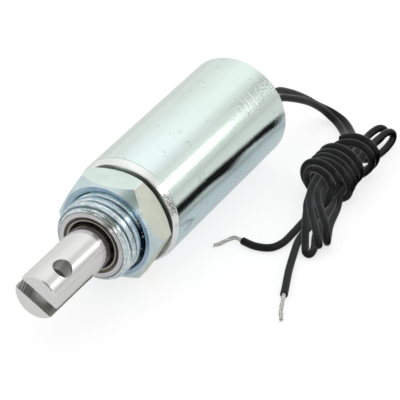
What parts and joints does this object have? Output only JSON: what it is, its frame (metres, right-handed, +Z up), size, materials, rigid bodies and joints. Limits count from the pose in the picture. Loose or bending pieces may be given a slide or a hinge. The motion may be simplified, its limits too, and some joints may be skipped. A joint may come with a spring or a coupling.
{
  "type": "push pull solenoid",
  "caption": "Tubular push pull solenoid with a threaded nose and nut, a clevis-ended sliding plunger, a rear push pin and two black leads tied in a hank.",
  "frame": {"origin": "centre of the mounting shoulder on the solenoid's axis, where the nut clamps a panel", "axes": "+Y along the axis from the clevis end to the push pin; +Z up as the solenoid lies on its side, with its leads to +X"},
  "size_m": [0.0524, 0.1081, 0.025],
  "materials": {
    "zinc_case": "bright zinc plate over drawn steel",
    "zinc_nose": "blue-white zinc plate over turned steel",
    "zinc_nut": "blue-white zinc plate over pressed steel",
    "plunger_plate": "satin nickel plate over turned steel",
    "pin_steel": "ground steel",
    "spring_steel": "dark oiled spring steel",
    "tube_steel": "drawn stainless steel",
    "core_iron": "turned soft iron",
    "washer_brass": "stamped brass",
    "bobbin_nylon": "moulded nylon",
    "copper_wire": "enamelled copper",
    "coil_tape": "polyester tape",
    "fibre": "vulcanised fibre",
    "grommet_rubber": "soft rubber",
    "lead_black": "black flexible insulation",
    "tinned_copper": "tinned copper strands"
  },
  "bodies": {
    "solenoid": {"case_tube": "zinc_case", "front_bushing": "zinc_nose", "guide_tube": "tube_steel", "pole_core": "core_iron", "stop_washer": "washer_brass", "bobbin": "bobbin_nylon", "winding": "copper_wire", "coil_wrap": "coil_tape", "front_spacer": "fibre", "rear_spacer": "fibre", "rear_plate": "zinc_case", "lead_grommet": "grommet_rubber", "lead_joint_a": "tinned_copper", "lead_joint_b": "tinned_copper", "lead_a_run": "lead_black", "lead_b_run": "lead_black", "lead_hank": "lead_black", "lead_a_tail": "lead_black", "lead_b_tail": "lead_black", "strands_a": "tinned_copper", "strands_b": "tinned_copper"},
    "clip": {"pin_clip": "spring_steel"},
    "plunger": {"plunger": "plunger_plate", "push_pin": "pin_steel"},
    "nut": {"mounting_nut": "zinc_nut"}
  },
  "joints": [
    {"name": "plunger_slide", "type": "slide", "parent": "solenoid", "child": "clip", "axis": [0, 1, 0], "range_m": [0, 0.01]},
    {"name": "plunger_spin", "type": "hinge", "parent": "clip", "child": "plunger", "pos_m": [0, 0, 0], "axis": [0, 1, 0], "continuous": true},
    {"name": "nut_spin", "type": "hinge", "parent": "solenoid", "child": "nut", "pos_m": [0, -0.003, 0], "axis": [0, -1, 0], "continuous": true}
  ]
}
